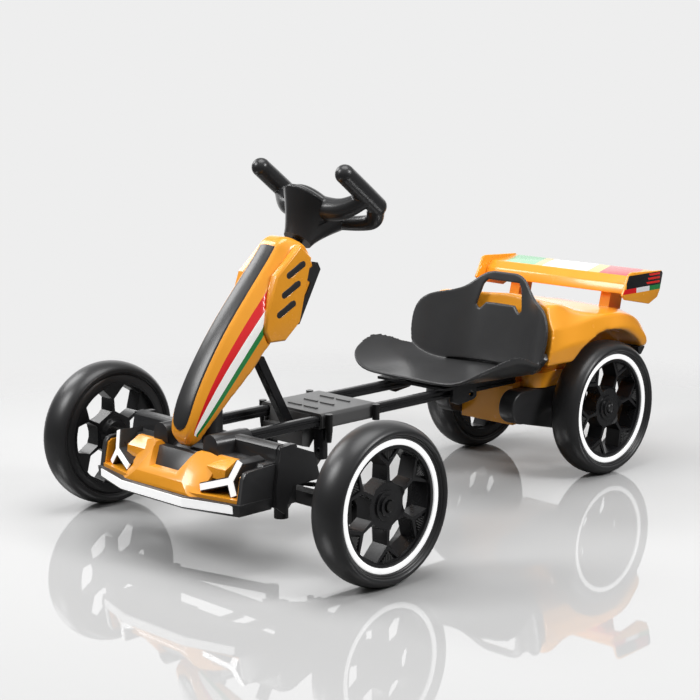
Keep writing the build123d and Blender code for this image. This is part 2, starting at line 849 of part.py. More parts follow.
column_up = Vector(0, sin(radians(column_tilt)), cos(radians(column_tilt)))
collar_point = Vector(0, front(collar_y), collar_z)


def column_plane(height):
    """A plane square to the upper column: sketch X is +X, sketch Y points up and forward."""
    return Plane(origin=collar_point + column_up * height, x_dir=(-1, 0, 0), z_dir=column_up)


def cowl_profile():
    """The closed outline of the cowl as seen from its side."""
    front_curve = Spline(*[(front(y), z) for y, z in cowl_front])
    Spline(front_curve @ 1, (front(77), 424), (front(90), 428), (front(110), 416), (front(124), 386))
    back_curve = Spline(*[(front(y), z) for y, z in cowl_rear])
    Spline(back_curve @ 1, (front(-76), 160), (front(-86), 152), (front(-95), 160), front_curve @ 0)


# Vent pods let into the cowl's flanks
pod_outline = (
    (front(93.8), 417.9), (front(116), 398.5), (front(92.8), 308.4), (front(64.5), 285.2),
    (front(34), 285.8), (front(25.6), 302.1), (front(30.3), 330.6), (front(48.1), 378.1),
)
pod_face = 42.0
pod_root = 30.0
pod_slot_y = 84.0
pod_slot_z = 384.0
pod_slot_turn = 30.0


with BuildPart() as vent_pods:
    for side in (-1, 1):
        with BuildSketch(side_plane(side * pod_root)):
            Polygon(*pod_outline, align=None)
        extrude(amount=side * (pod_face - pod_root))
    chamfer(
        vent_pods.edges().filter_by(lambda e: abs(abs(e.center().X) - pod_face) < 0.01
                                    and e.bounding_box().size.X < 0.01), length=2.5,
    )
    for side in (-1, 1):
        with BuildSketch(side_plane(side * pod_face)):
            for step in range(3):
                with Locations((front(pod_slot_y - 9.5 * step), pod_slot_z - 27 * step)):
                    SlotOverall(33, 9, rotation=pod_slot_turn)
        extrude(amount=-side * 2.5, mode=Mode.SUBTRACT)
write(vent_pods, "vent_pods")

with BuildPart() as cowl:
    with BuildSketch(side_plane(-nose_half)):
        with BuildLine():
            cowl_profile()
        make_face()
    extrude(amount=2 * nose_half)
    for side in (-1, 1):
        with BuildSketch(side_plane(side * nose_half)):
            with BuildLine():
                cowl_profile()
            make_face()
        flank = Vector(side, flank_slope * cos(radians(cowl_lean)), -flank_slope * sin(radians(cowl_lean)))
        extrude(amount=45 * flank.length, dir=flank.normalized())
    with BuildSketch(side_plane(-70)):
        with BuildLine():
            cowl_profile()
        make_face()
    extrude(amount=140, mode=Mode.INTERSECT)
    with BuildSketch(lean_plane()):
        with BuildLine():
            width_outline(cowl_width)
        make_face()
    extrude(amount=150, both=True, mode=Mode.INTERSECT)
    with BuildSketch(Plane.XY.offset(notch_top)):
        with Locations((0, mast_y)):
            Circle(mast_radius)
    extrude(amount=mast_top - notch_top, mode=Mode.SUBTRACT)
    with BuildSketch(column_plane(-shaft_in_cowl - 1)):
        Circle(shaft_radius + running_gap)
    extrude(amount=shaft_in_cowl + 60, mode=Mode.SUBTRACT)
    with BuildSketch(column_plane(0)):
        Circle(80)
    extrude(amount=60, mode=Mode.SUBTRACT)
    add(vent_pods.part, mode=Mode.SUBTRACT)
    add(cowl.solids().sort_by(SortBy.VOLUME)[-1], mode=Mode.REPLACE)
write(cowl, "cowl")

# Black spine down the cowl's front: a strip that stands a little proud of it
with BuildPart() as cowl_spine:
    with BuildSketch(side_plane(-30)):
        with BuildLine():
            outer = Spline(*[(front(y - spine_proud), z + spine_proud / 2) for y, z in cowl_front])
            inner = Spline(*[(front(y + 6), z - 3) for y, z in cowl_front])
            Line(outer @ 0, inner @ 0)
            Line(outer @ 1, inner @ 1)
        make_face()
    extrude(amount=60)
    with BuildSketch(lean_plane()):
        with BuildLine():
            width_outline(spine_width)
        make_face()
    extrude(amount=150, both=True, mode=Mode.INTERSECT)
    add(cowl.part, mode=Mode.SUBTRACT)
write(cowl_spine, "cowl_spine")

# Black cover behind the cowl's head, showing beside the pods
cover_half = 38.0

with BuildPart() as back_cover:
    with BuildSketch(side_plane(-cover_half)):
        Polygon(
            (front(130), 390), (front(135.5), 379.8), (front(94), 305.6), (front(72), 300), (front(90), 370),
            align=None,
        )
    extrude(amount=2 * cover_half)
    with BuildSketch(column_plane(-shaft_in_cowl - 1)):
        Circle(shaft_radius + running_gap)
    extrude(amount=shaft_in_cowl + 60, mode=Mode.SUBTRACT)
    add(cowl.part, mode=Mode.SUBTRACT)
    add(vent_pods.part, mode=Mode.SUBTRACT)
    add(column_strut.part, mode=Mode.SUBTRACT)
write(back_cover, "cowl_back")

# Upper column, with the shroud that carries the wheel
with BuildPart() as steering_shaft:
    with BuildSketch(column_plane(-shaft_in_cowl)):
        Circle(shaft_radius)
    extrude(amount=shaft_in_cowl + 4)
write(steering_shaft, "steering_shaft")

shroud_base = 4.0
shroud_side = 38.0
cap_thickness = 12.0
with BuildPart() as steering_shroud:
    with BuildSketch(column_plane(shroud_base)):
        Circle(collar_radius)
    with BuildSketch(column_plane(shroud_height)):
        Ellipse(shroud_side, shroud_radius)
    loft()
write(steering_shroud, "steering_shroud")

# Steering wheel: a cap over the shroud and, on each side, a grip held by a spoke and a lower arm
grip_height = 88.5  # grip centres above the collar
grip_middle = 11.5  # up the wheel's own plane from the column's axis
grip_up = column_plane(0).y_dir
with BuildPart() as steering_wheel:
    for side in (-1, 1):
        end = collar_point + column_up * grip_height + grip_up * (grip_middle - grip_length / 2)
        with BuildSketch(Plane(origin=end + Vector(side * grip_x, 0, 0), x_dir=(1, 0, 0), z_dir=grip_up)):
            Circle(grip_radius)
        extrude(amount=grip_length)
    fillet(
        steering_wheel.edges().filter_by(GeomType.CIRCLE).filter_by(lambda e: abs(e.radius - grip_radius) < 0.1),
        radius=5,
    )
    with BuildSketch(column_plane(shroud_height)):
        Ellipse(shroud_side - 1, shroud_radius - 1)
    extrude(amount=cap_thickness)
    with BuildSketch(column_plane(shroud_height + cap_thickness)):
        with Locations((0, 22)):
            Ellipse(shroud_side - 4, shroud_radius - 24)
    extrude(amount=8)
    for side in (-1, 1):
        for along, width, spoke in (
            (-36, 64, ((22, 44), (46, 50), (68, 60), (84, 76), (84, 90), (66, 82), (22, 74))),
            (-58, 16, ((14, 62), (58, 64), (76, 69), (89, 79), (87, 90), (66, 83), (14, 75))),
        ):
            with BuildSketch(Plane(origin=collar_point + grip_up * along, x_dir=(side, 0, 0),
                                   z_dir=grip_up * side)):
                Polygon(*spoke, align=None)
            extrude(amount=width * side)
    add(steering_shroud.part, mode=Mode.SUBTRACT)
write(steering_wheel, "steering_wheel")

# ---------------------------------------------------------------- seat

rail_top = rail_z + rail_height / 2
ear_x = rail_spread / 2 + rail_width / 2 + 5
ear_hole = 5.0
ear_hole_y = front(428)
ear_hole_z = 160.0

with BuildPart() as seat_bracket:
    with BuildSketch(Plane.XY.offset(rail_top)):
        with Locations((0, front(440))):
            Rectangle(2 * (ear_x + 6), 150)
            Rectangle(2 * (rail_spread / 2 - 16), 90, mode=Mode.SUBTRACT)
    extrude(amount=seat_z - seat_thickness - rail_top)
    for side in (-1, 1):
        with BuildSketch(side_plane(side * ear_x)):
            Polygon(
                (front(385), 152), (front(385), rail_top), (front(440), rail_top), (front(440), 154),
                (front(434), 150), (front(400), 146),
                align=None,
            )
            with Locations((ear_hole_y, ear_hole_z)):
                Circle(ear_hole, mode=Mode.SUBTRACT)
        extrude(amount=side * 6)
write(seat_bracket, "seat_bracket")

# Moulded bucket: a pan curved up at its sides and a back curved in plan, each a bent sheet cut to its outline
pan_curve = ((0, 0), (62, 0), (96, 4), (122, 15), (151, 45))
pan_rise = 0.042  # the seat base climbs this much per run towards the front
pan_outline = (
    (60, 358), (88, 357), (112, 361), (130, 372), (142, 396), (149, 434), (146, 470), (138, 500), (132, 520),
    (120, 537), (92, 551), (60, 561), (30, 565),
)
back_curve = ((0, 577), (46, 574), (76, 562), (112, 538), (143, 526))
back_outline = (
    (112, 182), (126, 187), (136, 203), (143, 232), (141, 258), (131, 277), (114, 287), (92, 292), (72, 299),
    (56, 311), (44, 320), (32, 325), (20, 326.5),
)
back_lean = 0.21  # run back per rise
handle_outline = ((33, 312), (40, 303), (48, 270), (42, 264), (30, 276))


def mirrored(points):
    """Half an outline's points, then the same ones across the kart's middle in reverse."""
    return [(x, y) for x, y in points] + [(-x, y) for x, y in reversed(points)]


def twin_outline(points):
    """A closed outline that is smooth on each side and mirrored across the kart's middle."""
    near = Spline(*points)
    far = Spline(*[(-x, y) for x, y in points])
    Line(near @ 0, far @ 0)
    Line(near @ 1, far @ 1)


def bent_sheet(curve, shift):
    """The centre line of a sheet seen end on, through half a curve's points and their mirror."""
    points = [(-x, y + shift) for x, y in reversed(curve)] + [(x, y + shift) for x, y in curve[1:]]
    Spline(*points)


with BuildPart() as seat_pan:
    with BuildSketch(cross_plane(front(340), seat_z + 130 * pan_rise)):
        with BuildLine():
            bent_sheet(pan_curve, -seat_thickness / 2)
        trace(line_width=seat_thickness)
    extrude(amount=230, dir=Vector(0, 1, -pan_rise).normalized())
    with BuildSketch(Plane.XY.offset(seat_z - 20)):
        with BuildLine():
            twin_outline([(x, front(y)) for x, y in pan_outline])
        make_face()
    extrude(amount=120, mode=Mode.INTERSECT)

with BuildPart() as seat_rest:
    with BuildSketch(Plane.XY.offset(seat_z)):
        with BuildLine():
            bent_sheet([(x, front(y)) for x, y in back_curve], -back_lean * (262 - seat_z))
        trace(line_width=seat_thickness)
    extrude(amount=160, dir=Vector(0, back_lean, 1).normalized())
    with BuildSketch(cross_plane(front(500))):
        with BuildLine():
            twin_outline(back_outline)
        make_face()
        with BuildSketch(cross_plane(front(500)), mode=Mode.PRIVATE) as handle_hole:
            Polygon(*mirrored(handle_outline), align=None)
            fillet(handle_hole.vertices(), radius=2.5)
        add(handle_hole.sketch, mode=Mode.SUBTRACT)
    extrude(amount=-120, mode=Mode.INTERSECT)

with BuildPart() as seat:
    add(seat_pan.part)
    add(seat_rest.part)
    add(seat_bracket.part, mode=Mode.SUBTRACT)
write(seat, "seat")

# ---------------------------------------------------------------- tail

gearbox_y = rear(gearbox_face)
gearbox_back = rear(80)
with BuildPart() as lower_housing:
    with BuildSketch(side_plane(-gearbox_half)):
        Polygon(
            (gearbox_y, gearbox_bottom), (gearbox_y, 150), (gearbox_y + 12, 172), (rear(40), 172),
            (rear(40), gearbox_bottom),
            align=None,
        )
    extrude(amount=2 * gearbox_half)
    # shoulders over the motors, under the tail body
    with BuildSketch(Plane.XY.offset(149)):
        with Locations((0, rear(-40))):
            RectangleRounded(180, 146, 24)
    extrude(amount=24)
    # the block that carries the tail body, behind the seat
    with BuildSketch(Plane.XY.offset(149)):
        with Locations((0, rear(-18))):
            RectangleRounded(170, 102, 24)
    extrude(amount=62)
    with BuildSketch(cross_plane(gearbox_y - 1, rail_z)):
        with Locations((-rail_spread / 2, 0), (rail_spread / 2, 0)):
            add(rail_outline())
    extrude(amount=-30, mode=Mode.SUBTRACT)
    add(seat.part, mode=Mode.SUBTRACT)
write(lower_housing, "lower_housing")

# Motors: round-fronted black cases beside the housing, each carrying its wheel's stub axle
motor_top = wheel_radius + 38
motor_bottom = wheel_radius - 36
with BuildPart() as motors:
    for side in (-1, 1):
        with BuildSketch(side_plane(side * gearbox_half)):
            with BuildLine():
                ThreePointArc(
                    (rear(-140), motor_top), (rear(-166), wheel_radius + 10), (rear(-138), motor_bottom + 20)
                )
                Polyline(
                    (rear(-138), motor_bottom + 20), (rear(-55), motor_bottom), (rear(20), motor_bottom),
                    (rear(28), wheel_radius), (rear(20), motor_top), (rear(-140), motor_top),
                )
            make_face()
        extrude(amount=side * motor_thickness)
        with BuildSketch(side_plane(side * (gearbox_half + motor_thickness), rear_axle_y, wheel_radius)):
            Circle(axle_radius)
        extrude(amount=side * (rear_track / 2 + axle_tip - gearbox_half - motor_thickness))
    add(lower_housing.part, mode=Mode.SUBTRACT)
write(motors, "motors")

# Tail body: one shell over the wheels, hollowed where the seat's back nests and arched over each tyre
# station; low edge; then side, crease, brow and middle heights with their half widths
body_low = 198.0
body_stations = (
    (508, 150, 226, 144, 250, 126, 262, 268),
    (560, 151, 226, 141, 254, 119, 287, 296),
    (610, 151, 228, 141, 259, 114, 280, 290),
    (650, 151, 232, 141, 264, 111, 269, 281),
    (695, 151, 240, 140, 263, 118, 267, 270),
    (738, 150, 236, 142, 256, 118, 264, 267),
    (765, 149, 224, 141, 243, 114, 253, 257),
    (786, 146, 205, 139, 211, 110, 217, 222),
)

with BuildPart() as rear_body:
    for station, side_x, side_z, crease_x, crease_z, brow_x, brow_z, middle_z in body_stations:
        with BuildSketch(cross_plane(front(station))):
            Polygon(
                (4 - side_x, body_low), (side_x - 4, body_low), (side_x, side_z), (crease_x, crease_z),
                (brow_x, brow_z), (0, middle_z), (-brow_x, brow_z), (-crease_x, crease_z), (-side_x, side_z),
                align=None,
            )
    loft()
    # room for the seat's back
    with BuildSketch(Plane.XY.offset(180)):
        Polygon(
            (-170, front(490)), (170, front(490)), (158, front(508)), (146, front(517)), (112, front(534)),
            (78, front(560)), (46, front(572)), (-46, front(572)), (-78, front(560)), (-112, front(534)),
            (-146, front(517)), (-158, front(508)),
            align=None,
        )
    extrude(amount=150, dir=Vector(0, back_lean, 1).normalized(), mode=Mode.SUBTRACT)
    for side in (-1, 1):
        with BuildSketch(side_plane(side * arch_inner_x, rear_axle_y, wheel_radius)):
            Circle(arch_radius)
        extrude(amount=side * 80, mode=Mode.SUBTRACT)
    add(lower_housing.part, mode=Mode.SUBTRACT)
    add(seat.part, mode=Mode.SUBTRACT)
    add(rear_body.solids().sort_by(SortBy.VOLUME)[-1], mode=Mode.REPLACE)
write(rear_body, "rear_body")

panel_y = rear(arch_radius - 41)
panel_z = wheel_radius + 75
with BuildPart() as tail_panel:
    with BuildSketch(side_plane(-140)):
        Polygon(
            (panel_y, body_low), (panel_y + 18, body_low), (panel_y + 18, panel_z + 10),
            (panel_y + 9, panel_z), (panel_y + 3, panel_z),
            align=None,
        )
    extrude(amount=280)
    add(rear_body.part, mode=Mode.SUBTRACT)
write(tail_panel, "tail_panel")

# Wing: a two-faced aerofoil on two struts, between outer plates
with BuildPart() as wing:
    with BuildSketch(side_plane(wing_plate_thickness - wing_plate_x)):
        Polygon(
            (front(716), 292), (front(722), 308), (front(735), 319), (front(796), 323.5),
            (front(798), 320), (front(764), 300), (front(742), 290),
            align=None,
        )
    extrude(amount=2 * (wing_plate_x - wing_plate_thickness))
write(wing, "wing")


wing_plate_inner = wing_plate_x - wing_plate_thickness
plate_tail = wheelbase + tail_overhang
with BuildPart() as wing_plates:
    for side in (-1, 1):
        with BuildSketch(side_plane(side * wing_plate_inner)):
            Polygon(
                (front(695), 293), (front(701), 303), (front(712), 326), (front(720), 328.5),
                (front(plate_tail - 4), 324.5), (front(plate_tail), 320), (front(798), 293), (front(791), 281),
                (front(768), 272), (front(704), 285),
                align=None,
            )
        extrude(amount=side * wing_plate_thickness)
write(wing_plates, "wing_plates")

with BuildPart() as wing_struts:
    for side in (-1, 1):
        with BuildSketch(side_plane(side * 86)):
            Polygon((front(721), 240), (front(739), 310), (front(773), 314), (front(755), 240), align=None)
        extrude(amount=side * 20)
    add(rear_body.part, mode=Mode.SUBTRACT)
    add(wing.part, mode=Mode.SUBTRACT)
write(wing_struts, "wing_struts")
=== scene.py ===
import bpy
import json
from math import cos, pi, radians, sin
from mathutils import Matrix, Vector

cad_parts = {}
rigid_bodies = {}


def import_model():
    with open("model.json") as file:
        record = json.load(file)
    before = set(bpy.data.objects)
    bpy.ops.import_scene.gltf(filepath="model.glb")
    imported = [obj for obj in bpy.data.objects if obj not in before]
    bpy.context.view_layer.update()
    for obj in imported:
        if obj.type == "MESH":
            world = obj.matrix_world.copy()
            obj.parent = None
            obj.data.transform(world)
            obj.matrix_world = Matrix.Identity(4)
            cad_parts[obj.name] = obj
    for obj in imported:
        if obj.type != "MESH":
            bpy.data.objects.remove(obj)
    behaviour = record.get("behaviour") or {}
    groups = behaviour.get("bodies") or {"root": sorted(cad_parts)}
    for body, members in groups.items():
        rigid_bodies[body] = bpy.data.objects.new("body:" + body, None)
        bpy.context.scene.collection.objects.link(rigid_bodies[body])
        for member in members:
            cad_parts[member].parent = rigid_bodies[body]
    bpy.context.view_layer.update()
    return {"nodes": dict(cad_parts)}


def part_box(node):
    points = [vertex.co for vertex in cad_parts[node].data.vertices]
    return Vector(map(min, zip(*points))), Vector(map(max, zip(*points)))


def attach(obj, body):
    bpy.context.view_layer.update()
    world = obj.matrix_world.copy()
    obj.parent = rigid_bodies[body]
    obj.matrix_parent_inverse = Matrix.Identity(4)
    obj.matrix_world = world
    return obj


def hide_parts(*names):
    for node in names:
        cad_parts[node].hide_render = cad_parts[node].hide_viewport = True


# A child's electric go-kart: the moulded shells, tyres and spokes are finished here over the CAD frame.

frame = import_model()
axleOffset = 327.5  # the frame's middle lies this far behind the front axle, in millimetres
print("frame loaded")


def stand(*spot):
    # millimetres behind the front axle, as the kart is measured, to the frame's metres
    x, y, z = spot
    return Vector((x / 1000, (y - axleOffset) / 1000, z / 1000))


# shader maths

class Signal:
    # a shader socket that takes part in ordinary arithmetic
    def __init__(self, finish, socket):
        self.finish = finish
        self.socket = socket

    def maths(self, operation, *terms):
        return self.finish.node("ShaderNodeMath", {"operation": operation}, *terms)

    def __add__(self, other):
        return self.maths("ADD", self, other)

    def __sub__(self, other):
        return self.maths("SUBTRACT", self, other)

    def __rsub__(self, other):
        return self.maths("SUBTRACT", other, self)

    def __mul__(self, other):
        return self.maths("MULTIPLY", self, other)

    def __truediv__(self, other):
        return self.maths("DIVIDE", self, other)

    def __pow__(self, other):
        return self.maths("POWER", self, other)

    def __gt__(self, other):
        return self.maths("GREATER_THAN", self, other)

    def __lt__(self, other):
        return self.maths("LESS_THAN", self, other)

    def __abs__(self):
        return self.maths("ABSOLUTE", self)

    __radd__ = __add__
    __rmul__ = __mul__


class Finish:
    # one material and the nodes that make it
    def __init__(self, name, colour, roughness=0.5, coat=0.0):
        self.material = bpy.data.materials.new(name)
        self.material.use_nodes = True
        self.tree = self.material.node_tree
        self.shader = self.tree.nodes["Principled BSDF"]
        self.shader.inputs["Base Color"].default_value = (*colour, 1)
        self.shader.inputs["Roughness"].default_value = roughness
        self.shader.inputs["Coat Weight"].default_value = coat
        self.shader.inputs["Coat Roughness"].default_value = 0.12

    def node(self, kind, settings, *values, out=0, **named):
        made = self.tree.nodes.new(kind)
        for key, value in settings.items():
            setattr(made, key, value)
        wanted = list(enumerate(values)) + [(key.replace("_", " "), value) for key, value in named.items()]
        for key, value in wanted:
            socket = made.inputs[key]
            if isinstance(value, Signal):
                self.tree.links.new(value.socket, socket)
            elif value is not None:
                socket.default_value = value
        return Signal(self, made.outputs[out])

    def place(self):
        # the piece's own coordinates, in millimetres behind the front axle
        spot = self.node("ShaderNodeTexCoord", {}, out=3)
        x, y, z = (self.node("ShaderNodeSeparateXYZ", {}, spot, out=axis) for axis in range(3))
        return x * 1000, y * 1000 + axleOffset, z * 1000

    def noise(self, scale, detail):
        spot = self.node("ShaderNodeTexCoord", {}, out=3)
        return self.node("ShaderNodeTexNoise", {}, Vector=spot, Scale=scale, Detail=detail)

    def blend(self, mask, under, over):
        shades = [value if isinstance(value, Signal) else (*value, 1) for value in (under, over)]
        made = self.tree.nodes.new("ShaderNodeMix")
        made.data_type = "RGBA"
        for place, value in ((0, mask), (6, shades[0]), (7, shades[1])):
            if isinstance(value, Signal):
                self.tree.links.new(value.socket, made.inputs[place])
            else:
                made.inputs[place].default_value = value
        return Signal(self, made.outputs[2])

    def colour(self):
        # whatever feeds the base colour so far
        return Signal(self, self.shader.inputs["Base Color"].links[0].from_socket)

    def feed(self, name, signal):
        self.tree.links.new(signal.socket, self.shader.inputs[name])

    def bump(self, height, strength):
        made = self.node("ShaderNodeBump", {}, Height=height, Strength=strength, Distance=0.0004)
        self.feed("Normal", made)


# finishes

shades = {
    "orange": (0.93, 0.365, 0.022),
    "charcoal": (0.040, 0.040, 0.041),
    "frameBlack": (0.011, 0.011, 0.012),
    "rubber": (0.022, 0.022, 0.023),
    "white": (0.90, 0.90, 0.90),
    "red": (0.78, 0.012, 0.016),
    "green": (0.016, 0.26, 0.06),
    "pale": (0.86, 0.62, 0.16),
    "blackPlastic": (0.026, 0.026, 0.027),
    "blackSteel": (0.011, 0.011, 0.011),
    "rim": (0.010, 0.010, 0.011),
    # painted highlight: the ribs are a lighter copy of the rim's black so they read as lit ridges
    "rib": (0.07, 0.07, 0.07),
    "plate": (0.085, 0.085, 0.085),
    "panel": (0.012, 0.012, 0.013),
    "dash": (0.85, 0.02, 0.015),
    "stripeWhite": (0.88, 0.87, 0.84),
    "bandWhite": (0.9, 0.9, 0.9),
}
paintedGlow = {"lamps": 0.45, "stripe": 0.30, "stripeColour": (0.8, 0.8, 0.8)}  # painted glow: the white trim rings and the cowl's white stripe give off light so they look whiter than the lighting makes them; the head lamps and lamp strip glow by the same amount


def moulded(name, colour, roughness, grain=1600, depth=0.10, coat=0.0):
    # moulded plastic: a fine grain, with gloss that varies a little over the surface
    finish = Finish(name, colour, roughness, coat=coat)
    broad = finish.noise(22, 4)
    fine = finish.noise(grain, 2)
    finish.feed("Roughness", roughness - 0.05 + broad * 0.10)
    lift = tuple(min(channel * 1.12 + 0.001, 1) for channel in colour)
    finish.feed("Base Color", finish.blend(broad, colour, lift))
    finish.bump(fine, depth)
    return finish


def glossyOrange(name):
    return moulded(name, shades["orange"], 0.26, grain=500, depth=0.02, coat=0.6)


orangeShell = glossyOrange("orangeShell")
seatPlastic = moulded("seatPlastic", shades["charcoal"], 0.30, grain=900, depth=0.05)
blackPlastic = moulded("blackPlastic", shades["blackPlastic"], 0.30, grain=1100, depth=0.05)
powderCoat = moulded("powderCoat", shades["frameBlack"], 0.24, grain=1400, depth=0.07)
blackSteel = moulded("blackSteel", shades["blackSteel"], 0.28, grain=1400, depth=0.07)
rubber = moulded("rubber", shades["rubber"], 0.34, grain=700, depth=0.08)
rimPlastic = moulded("rimPlastic", shades["rim"], 0.28, grain=1100, depth=0.06)
# painted highlight: a lighter black for the wheel ribs, standing for the light on their ridges
ribHighlightPlastic = moulded("ribHighlightPlastic", shades["rib"], 0.30, grain=1100, depth=0.06)
platePlastic = moulded("platePlastic", shades["plate"], 0.34, grain=900, depth=0.10)
ringWhite = moulded("ringWhite", shades["white"], 0.30, grain=500, depth=0.02)
lampWhite = moulded("lampWhite", shades["white"], 0.18, grain=300, depth=0.01, coat=0.6)
# painted glow: the trim rings are no lamps, yet they give off light so they look whiter
for lit in (ringWhite, lampWhite):
    lit.shader.inputs["Emission Color"].default_value = (1, 1, 1, 1)
    lit.shader.inputs["Emission Strength"].default_value = paintedGlow["lamps"]

# the cowl's tricolour runs up both flanks: each edge is a curve of height over distance back
stripeEnds = {"inner": 20, "back": 57}
stripeEdges = {"red": (-89.0, 176.5, 5.45, 0.722), "white": (-88.0, 174.8, 3.94, 0.774),
               "green": (-84.6, 171.5, 1.913, 0.912), "end": (-81.6, 170.0, 1.369, 0.97)}


def cowlFinish():
    finish = glossyOrange("cowlShell")
    x, y, z = finish.place()
    below = {}
    for name, (startY, startZ, rise, bend) in stripeEdges.items():
        run = finish.node("ShaderNodeMath", {"operation": "MAXIMUM"}, y - startY, 0.001)
        below[name] = (z < run ** bend * rise + startZ) * (y > startY)
    side = (abs(x) > stripeEnds["inner"]) * (y < stripeEnds["back"])
    shade = finish.colour()
    shade = finish.blend(below["red"] * side, shade, shades["red"])
    shade = finish.blend(below["white"] * side, shade, shades["stripeWhite"])
    shade = finish.blend(below["green"] * side, shade, shades["green"])
    shade = finish.blend(below["end"] * side, shade, shades["orange"])
    finish.feed("Base Color", shade)
    # painted glow: the white stripe gives off light so it looks whiter than the lighting makes it
    lit = finish.blend(below["white"] * side, (0, 0, 0), paintedGlow["stripeColour"])
    lit = finish.blend(below["green"] * side, lit, (0, 0, 0))
    finish.feed("Emission Color", lit)
    finish.shader.inputs["Emission Strength"].default_value = paintedGlow["stripe"]
    return finish


# where each band starts across the wing's top, and how the bands slant and end
wingBands = {"slant": 0.31, "middle": 763, "front": 737, "level": 0.85, "bands": (
    (-132, (0.10, 0.56, 0.20)), (-68, shades["pale"]), (-51, (0.86, 0.86, 0.84)), (45, shades["pale"]),
    (69, (0.72, 0.04, 0.05)), (136, shades["orange"]))}


def wingFinish():
    # five slanting bands across the wing's top
    finish = glossyOrange("wingShell")
    x, y, z = finish.place()
    across = x + (y - wingBands["middle"]) * wingBands["slant"]
    up = finish.node("ShaderNodeSeparateXYZ", {}, finish.node("ShaderNodeNewGeometry", {}, out=1), out=2)
    top = (up > wingBands["level"]) * (y > wingBands["front"])
    shade = finish.colour()
    for start, colour in wingBands["bands"]:
        shade = finish.blend((across > start) * top, shade, colour)
    finish.feed("Base Color", shade)
    return finish


# heights of the plates' panel and band, each dash's height and start, and where the band's colours begin
plateMarks = {"face": 157.4, "panel": (302.3, 323.6), "panelFront": 705, "band": (294.2, 302.3),
              "dashes": ((320.3, 767), (313.8, 763.5), (307.1, 760)), "dashHalf": 1.75, "dashSlant": 0.8,
              "dashEnd": 796,
              "colours": ((690, shades["red"]), (732, shades["bandWhite"]), (768, shades["green"]))}


def plateFinish():
    # black panel with three dashes over a tricolour band, on the wing plates' outer faces
    finish = glossyOrange("plateShell")
    x, y, z = finish.place()
    outer = abs(x) > plateMarks["face"]
    shade = finish.colour()
    bottom, top = plateMarks["panel"]
    panel = (z > bottom) * (z < top) * outer * (y > plateMarks["panelFront"])
    shade = finish.blend(panel, shade, shades["panel"])
    for row, start in plateMarks["dashes"]:
        slanted = y > start + (row - z) * plateMarks["dashSlant"]
        dash = (abs(z - row) < plateMarks["dashHalf"]) * slanted * (y < plateMarks["dashEnd"]) * outer
        shade = finish.blend(dash, shade, shades["dash"])
    bottom, top = plateMarks["band"]
    band = (z > bottom) * (z < top) * outer
    for start, colour in plateMarks["colours"]:
        shade = finish.blend(band * (y > start), shade, colour)
    finish.feed("Base Color", shade)
    return finish


cowlShell = cowlFinish()
wingShell = wingFinish()
plateShell = plateFinish()
print("finishes made")

nodeFinishes = {
    powderCoat: ("rear_rails", "front_rails", "seat_bracket", "posts", "column_strut"),
    platePlastic: ("foot_plate",),
    blackSteel: ("front_axle", "knuckle_left", "knuckle_right", "pitman_arm", "tie_rod", "steering_shaft",
                 "clamp_levers"),
    blackPlastic: ("motors", "tail_panel", "front_housing", "splash_guards", "bumper_tray", "cowl_spine", "cowl_back",
                   "steering_shroud", "steering_wheel"),
    orangeShell: ("rear_body", "lower_housing", "wing_struts", "bumper_fascia", "vent_pods"),
    lampWhite: ("head_lamps", "lamp_strip"),
    seatPlastic: ("seat",),
    cowlShell: ("cowl",),
    wingShell: ("wing",),
    plateShell: ("wing_plates",),
    rubber: tuple(name for name in frame["nodes"] if name.startswith("tyre")),
    ringWhite: tuple(name for name in frame["nodes"] if name.startswith("trim_ring")),
    rimPlastic: tuple(name for name in frame["nodes"] if name.startswith("rim")),
}
for finish, names in nodeFinishes.items():
    for name in names:
        node = frame["nodes"][name]
        node.data.materials.clear()
        node.data.materials.append(finish.material)


# helpers for modelling

def only(piece):
    bpy.ops.object.select_all(action="DESELECT")
    piece.select_set(True)
    bpy.context.view_layer.objects.active = piece


def addModifier(piece, kind, **settings):
    only(piece)
    modifier = piece.modifiers.new(kind.title(), kind)
    for key, value in settings.items():
        setattr(modifier, key, value)
    bpy.ops.object.modifier_apply(modifier=modifier.name)


def faceOutwards(piece):
    only(piece)
    bpy.ops.object.mode_set(mode="EDIT")
    bpy.ops.mesh.select_all(action="SELECT")
    bpy.ops.mesh.normals_make_consistent(inside=False)
    bpy.ops.object.mode_set(mode="OBJECT")


def castOf(nodeName, name):
    # a free copy of a CAD node's mesh, its triangles welded
    source = frame["nodes"][nodeName]
    piece = bpy.data.objects.new(name, source.data.copy())
    bpy.context.scene.collection.objects.link(piece)
    only(piece)
    bpy.ops.object.mode_set(mode="EDIT")
    bpy.ops.mesh.select_all(action="SELECT")
    bpy.ops.mesh.remove_doubles(threshold=0.00002)
    bpy.ops.object.mode_set(mode="OBJECT")
    return piece


def finishPiece(piece, body, finish, slot, *replaced, angle=35):
    only(piece)
    bpy.ops.object.shade_smooth_by_angle(angle=radians(angle))
    piece.data.materials.clear()
    piece.data.materials.append(finish.material)
    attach(piece, body)
    if replaced:
        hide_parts(*replaced)
    return piece


def soften(piece, voxel, rounds):
    # one continuous skin, with its edges and facets rounded
    addModifier(piece, "REMESH", mode="VOXEL", voxel_size=voxel)
    addModifier(piece, "SMOOTH", factor=0.5, iterations=rounds)


def trimEdges(piece, flat, width, segments, sharp):
    # merge the triangles that lie flat together, then break the sharp edges by a small round
    addModifier(piece, "DECIMATE", decimate_type="DISSOLVE", angle_limit=radians(flat))
    addModifier(piece, "BEVEL", width=width, segments=segments, limit_method="ANGLE", angle_limit=radians(sharp))


